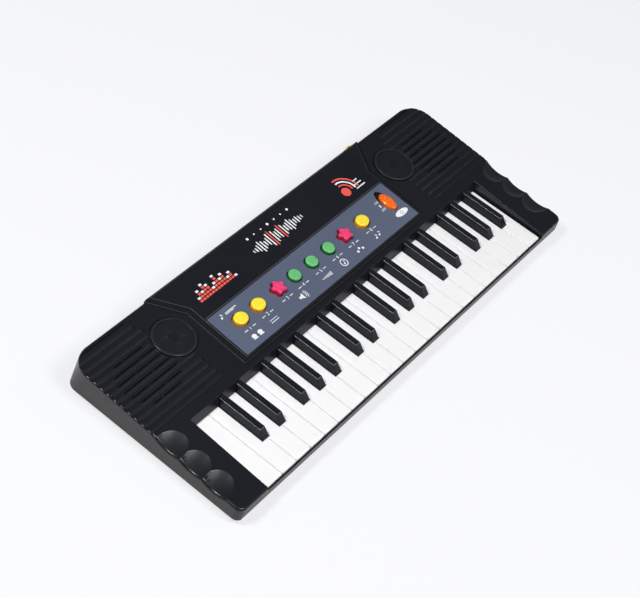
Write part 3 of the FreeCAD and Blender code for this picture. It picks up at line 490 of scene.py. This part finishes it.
def panelMarks(look):
    bm = bmesh.new()
    places = [keyX(place) for place in look["buttons"]]
    first, second, third, fourth, fifth, sixth, seventh, last = places
    row, low = keyY(look["numberY"]), keyY(look["signY"])
    for count, x in enumerate(places, 1):
        words(bm, x, row, str(count), look["numberSize"])
        for side in (-1, 1):
            bar(bm, x + side * look["dashAway"], row, *look["dash"])
    drum, rules = look["drum"], look["rules"]
    for side in (-1, 1):
        disc(bm, first + side * drum["away"], low, drum["radius"], drum["squash"])
        bar(bm, first + side * drum["away"], low - drum["drop"], *drum["rim"])
        bar(bm, second, low + side * rules["away"], *rules["size"])
    speaker, middle = look["speaker"], (third + fourth) / 2
    bar(bm, middle - speaker["back"], low, *speaker["box"])
    patch(bm, middle, low, speaker["horn"])
    for radius in speaker["waves"]:
        arc(bm, middle + speaker["ahead"], low, radius, speaker["waveWidth"], *speaker["waveTurn"],
            speaker["waveSteps"])
    meter = look["meter"]
    for step in range(meter["bars"]):
        bar(bm, fifth - meter["back"] + step * meter["step"], low, meter["width"],
            meter["low"] + meter["grow"] * step)
    ring = look["ring"]
    arc(bm, sixth, low, ring["radius"], ring["width"], 0, 360, ring["steps"])
    for x, (right, up, size) in [(sixth, ring["note"])] + [(last, place) for place in look["notes"]]:
        note(bm, x + right, low + up, size)
    for right, up in look["dots"]["places"]:
        disc(bm, seventh + right, low + up, look["dots"]["radius"])
    right, place, size = look["heading"]["note"]
    note(bm, first + right, keyY(place), size)
    for right, place, width, height in look["heading"]["rules"]:
        bar(bm, first + right, keyY(place), width, height)
    switch, slide = look["switch"], keyX(look["switch"]["x"])
    for text, place in switch["words"]:
        words(bm, slide, keyY(place), text, switch["size"])
    bar(bm, slide, keyY(switch["markY"]), *switch["mark"])
    layInk(bm)
    newPiece("panelMarks", bm, inks["whiteInk"], "case")


panelMarks(panelPrint)


# white oval badge below the slider, with a generic power sign
badgeSet = {"x": keyX(17.03), "y": keyY(5.56), "radius": 0.0071, "squash": 0.4, "sides": 48,
            "thickness": 0.00005, "signRadius": 0.0014, "signWidth": 0.0004, "signTurn": (120, 300),
            "signSteps": 18, "stemUp": 0.0011, "stem": 0.0015, "signLift": 0.00008,
            "signThickness": 0.00002}


def badge(look):
    x, y = look["x"], look["y"]
    bm = bmesh.new()
    disc(bm, x, y, look["radius"], look["squash"], sides=look["sides"])
    layInk(bm, thickness=look["thickness"])
    newPiece("ovalBadge", bm, inks["whiteInk"], "case")
    bm = bmesh.new()
    arc(bm, x, y, look["signRadius"], look["signWidth"], *look["signTurn"], look["signSteps"])
    bar(bm, x, y + look["stemUp"], look["signWidth"], look["stem"])
    layInk(bm, look["signLift"], look["signThickness"])
    newPiece("ovalBadgeSign", bm, inks["greyInk"], "case")


badge(badgeSet)


# name area of the console: bars, a waveform and sound arcs in white and coral
artSet = {
    "bars": {"x": 4.95, "y": 8.32, "step": 0.2, "rise": 0.17, "size": (0.0025, 0.0018),
             "heights": (2, 4, 3, 5, 4, 2, 3, 5, 3, 4, 2, 3, 1)},
    "wave": {"x": 9.1, "y": 8.65, "step": 0.17, "width": 0.0012, "tall": 0.0145, "coral": (8, 12),
             "swing": (0.1, 0.22, 0.4, 0.7, 0.5, 0.28, 0.46, 0.84, 1.0, 0.74, 0.42, 0.6, 0.9, 0.66, 0.34,
                       0.5, 0.72, 0.46, 0.26, 0.38, 0.22, 0.12)},
    "dots": {"x": 9.4, "y": 9.38, "step": 0.5,
             "radii": (0.0011, 0.0007, 0.0007, 0.0011, 0.0007, 0.0007, 0.0011)},
    "arcs": {"x": 15.75, "y": 8.2, "disc": 0.0042, "discSides": 36, "radii": (0.0072, 0.0104, 0.0136),
             "width": 0.0015, "turn": (-8, 106), "steps": 24},
    "lines": {"x": 16.72, "y": 8.0, "step": 0.22, "lengths": (0.0105, 0.0081, 0.0057), "width": 0.001},
}


def nameArt(look):
    white, coral = bmesh.new(), bmesh.new()
    bars = look["bars"]
    for column, height in enumerate(bars["heights"]):
        for level in range(height):
            target = coral if level < height - 1 else white
            bar(target, keyX(bars["x"] + column * bars["step"]), keyY(bars["y"] + level * bars["rise"]),
                *bars["size"])
    wave = look["wave"]
    for step, swing in enumerate(wave["swing"]):
        target = coral if step in wave["coral"] else white
        pill(target, keyX(wave["x"] + step * wave["step"]), keyY(wave["y"]),
             wave["width"] + wave["tall"] * swing, wave["width"], 90)
    dots = look["dots"]
    for step, radius in enumerate(dots["radii"]):
        disc(white, keyX(dots["x"] + step * dots["step"]), keyY(dots["y"]), radius)
    arcs = look["arcs"]
    x, y = keyX(arcs["x"]), keyY(arcs["y"])
    disc(coral, x, y, arcs["disc"], sides=arcs["discSides"])
    for target, radius in zip((coral, white, coral), arcs["radii"]):
        arc(target, x, y, radius, arcs["width"], *arcs["turn"], arcs["steps"])
    lines = look["lines"]
    for step, length in enumerate(lines["lengths"]):
        bar(white, keyX(lines["x"]), keyY(lines["y"] + step * lines["step"]), length, lines["width"])
    layInk(white)
    layInk(coral)
    newPiece("nameArtWhite", white, inks["whiteInk"], "case")
    newPiece("nameArtCoral", coral, inks["coralInk"], "case")


nameArt(artSet)
print("prints laid on the console")


# two rounded grips on the slider's knob
gripSet = {"x": 0.0937, "y": 0.1015, "top": 0.0026, "sink": 0.0003, "step": 0.0036,
           "size": (0.0023, 0.0019, 0.00142), "around": 28, "rings": 16}


def sliderGrips(look):
    bm = bmesh.new()
    for side in (-1, 1):
        sized = (Matrix.Translation((look["x"], look["y"] + side * look["step"], look["top"]))
                 @ Matrix.Diagonal((*look["size"], 1)))
        bmesh.ops.create_uvsphere(bm, u_segments=look["around"], v_segments=look["rings"], radius=1,
                                  matrix=sized)
    cut = bmesh.ops.bisect_plane(bm, geom=bm.verts[:] + bm.edges[:] + bm.faces[:], clear_outer=True,
                                 plane_co=(0, 0, look["top"] - look["sink"]), plane_no=(0, 0, -1))
    rim = [e for e in cut["geom_cut"] if isinstance(e, bmesh.types.BMEdge)]
    bmesh.ops.holes_fill(bm, edges=rim)
    bm.transform(deckFrame @ Matrix.Translation((0, 0, deckSet["console"])))
    piece = newPiece("sliderGrips", bm, finishes["slider_orange"], "power_slider")
    for face in piece.data.polygons:
        face.use_smooth = True


sliderGrips(gripSet)


# painted shade: thin dark crosses on the screw heads under the base stand for their shaded recesses
crossSet = {"size": (0.0034, 0.0008, 0.00006), "level": 0.003, "turns": (45, 135), "bevel": 0.00002,
            "places": ((0.190325, -0.062), (0.188, 0.061), (0.086, 0.068))}


def screwCrosses(look):
    bm = bmesh.new()
    for x, y in [(side * x, y) for x, y in look["places"] for side in (-1, 1)]:
        for turn in look["turns"]:
            placed = Matrix.Translation((0, 0, look["level"])) @ spot(x, y, turn)
            bmesh.ops.create_cube(bm, size=1, matrix=placed @ Matrix.Diagonal((*look["size"], 1)))
    bmesh.ops.bevel(bm, geom=bm.edges[:], offset=look["bevel"], segments=1, profile=0.5,
                    affect="EDGES", material=-1)
    newPiece("screwCrosses", bm, finishes["speaker_dark"], "case")


screwCrosses(crossSet)


# steel sleeve inside the socket's mouth
sleeveSet = {"x": 0.121, "z": 0.022, "mouth": 0.082, "outer": 0.00178, "inner": 0.0015,
             "inset": 0.0004, "deep": 0.009, "steps": 40, "merge": 1e-7}


def socketSleeve(look):
    bm = bmesh.new()
    inner, outer, inset, deep = (look[name] for name in ("inner", "outer", "inset", "deep"))
    section = [(inner, -inset), (outer, -inset), (outer, -deep), (inner, -deep)]
    ring = [bm.verts.new((look["x"] + r, look["mouth"] + y, look["z"])) for r, y in section]
    edges = [bm.edges.new(pair) for pair in zip(ring, ring[1:] + ring[:1])]
    bmesh.ops.spin(bm, geom=ring + edges, cent=(look["x"], 0, look["z"]), axis=(0, 1, 0),
                   angle=2 * math.pi, steps=look["steps"], use_merge=True)
    bmesh.ops.remove_doubles(bm, verts=bm.verts, dist=look["merge"])
    newPiece("socketSleeve", bm, finishes["rod_steel"], "case")


socketSleeve(sleeveSet)
print("small pieces built")


# pale paper floor: part of what the camera sees is even glow, the rest is lit and takes the shadow
floorSet = {"size": 8.0, "colour": (0.88, 0.885, 0.9), "fibreTone": 0.985, "fibreScale": 240,
            "rough": (0.8, 0.9), "specular": 0.1, "glow": (0.93, 0.935, 0.95), "glowShare": 0.74}


def floorMaterial(look):
    mat, tree, shader, coords = startMaterial("paperFloor")
    fibre = noiseNode(tree, coords, look["fibreScale"])
    tree.links.new(rampNode(tree, fibre, shade(look["colour"], look["fibreTone"]), look["colour"]),
                   shader.inputs["Base Color"])
    tree.links.new(rangeNode(tree, fibre, *look["rough"]), shader.inputs["Roughness"])
    shader.inputs["Specular IOR Level"].default_value = look["specular"]
    glow = tree.nodes.new("ShaderNodeEmission")
    glow.inputs["Color"].default_value = (*look["glow"], 1)
    path = tree.nodes.new("ShaderNodeLightPath")
    blend = tree.nodes.new("ShaderNodeMixShader")
    tree.links.new(bothNode(tree, path.outputs["Is Camera Ray"], look["glowShare"]), blend.inputs[0])
    tree.links.new(shader.outputs[0], blend.inputs[1])
    tree.links.new(glow.outputs[0], blend.inputs[2])
    tree.links.new(blend.outputs[0], tree.nodes["Material Output"].inputs["Surface"])
    return mat


def layFloor(look):
    bm = bmesh.new()
    bmesh.ops.create_grid(bm, x_segments=1, y_segments=1, size=look["size"] / 2)
    mesh = bpy.data.meshes.new("studioFloor")
    bm.to_mesh(mesh)
    bm.free()
    mesh.materials.append(floorMaterial(look))
    floor = bpy.data.objects.new("studioFloor", mesh)
    scene.collection.objects.link(floor)


layFloor(floorSet)

# a lamp high at the left, a wide softbox over the player's side and a weak lamp at the right front
lampSet = {
    "leftHigh": {"place": (-0.8, 0.44, 1.31), "aim": (0.05, 0, 0), "along": (0, 0, 1),
                 "size": (0.3, 0.3), "power": 16.8, "tint": (1, 0.995, 0.985)},
    "playerSide": {"place": (-0.03, -0.9, 1.5), "aim": (0.08, 0, 0), "along": (0, 1, 0),
                   "size": (0.5, 0.6), "power": 18, "tint": (1, 0.995, 0.985)},
    "rightFront": {"place": (0.98, -0.85, 0.93), "aim": (0, 0, 0), "along": (0, 0, 1),
                   "size": (0.2, 0.2), "power": 0.9, "tint": (1, 0.99, 0.98)},
}


def hangLamp(name, look):
    lamp = bpy.data.lights.new(name, "AREA")
    lamp.shape = "RECTANGLE"
    lamp.size, lamp.size_y = look["size"]
    lamp.energy = look["power"]
    lamp.color = look["tint"]
    holder = bpy.data.objects.new(name, lamp)
    scene.collection.objects.link(holder)
    back = (Vector(look["place"]) - Vector(look["aim"])).normalized()
    across = Vector(look["along"]).cross(back).normalized()
    turn = Matrix((across, back.cross(across), back)).transposed().to_4x4()
    holder.matrix_world = Matrix.Translation(look["place"]) @ turn


for lampName, lampLook in lampSet.items():
    hangLamp(lampName, lampLook)

# the room: bright near the horizon, dark higher up
airSet = {"horizon": (0.95, 0.97, 1.0), "upper": (0.07, 0.075, 0.085), "span": (0.0, 0.17)}


def studioAir(look):
    world = bpy.data.worlds.new("studioAir")
    world.use_nodes = True
    tree = world.node_tree
    coords = tree.nodes.new("ShaderNodeTexCoord")
    height = dotNode(tree, coords.outputs["Generated"], (0, 0, 1))
    tree.links.new(rampNode(tree, height, look["horizon"], look["upper"], look["span"]),
                   tree.nodes["Background"].inputs["Color"])
    scene.world = world


studioAir(airSet)

# the photograph's view: place in metres, axes of the picture, lens and sensor width in millimetres
cameraSet = {"place": (-0.74939, -0.34542, 0.89548), "right": (0.607145, -0.767622, 0.205258),
             "up": (0.505244, 0.572326, 0.645889), "back": (-0.613273, -0.288443, 0.735321),
             "lens": 90.293, "sensor": 36, "far": 50}


def placeCamera(look):
    data = bpy.data.cameras.new("photoCamera")
    data.sensor_fit = "HORIZONTAL"
    data.sensor_width = look["sensor"]
    data.lens = look["lens"]
    data.clip_end = look["far"]
    camera = bpy.data.objects.new("photoCamera", data)
    scene.collection.objects.link(camera)
    axes = Matrix((look["right"], look["up"], look["back"])).transposed().to_4x4()
    camera.matrix_world = Matrix.Translation(look["place"]) @ axes
    scene.camera = camera


placeCamera(cameraSet)
print("floor, light and camera set")


bpy.context.view_layer.update()
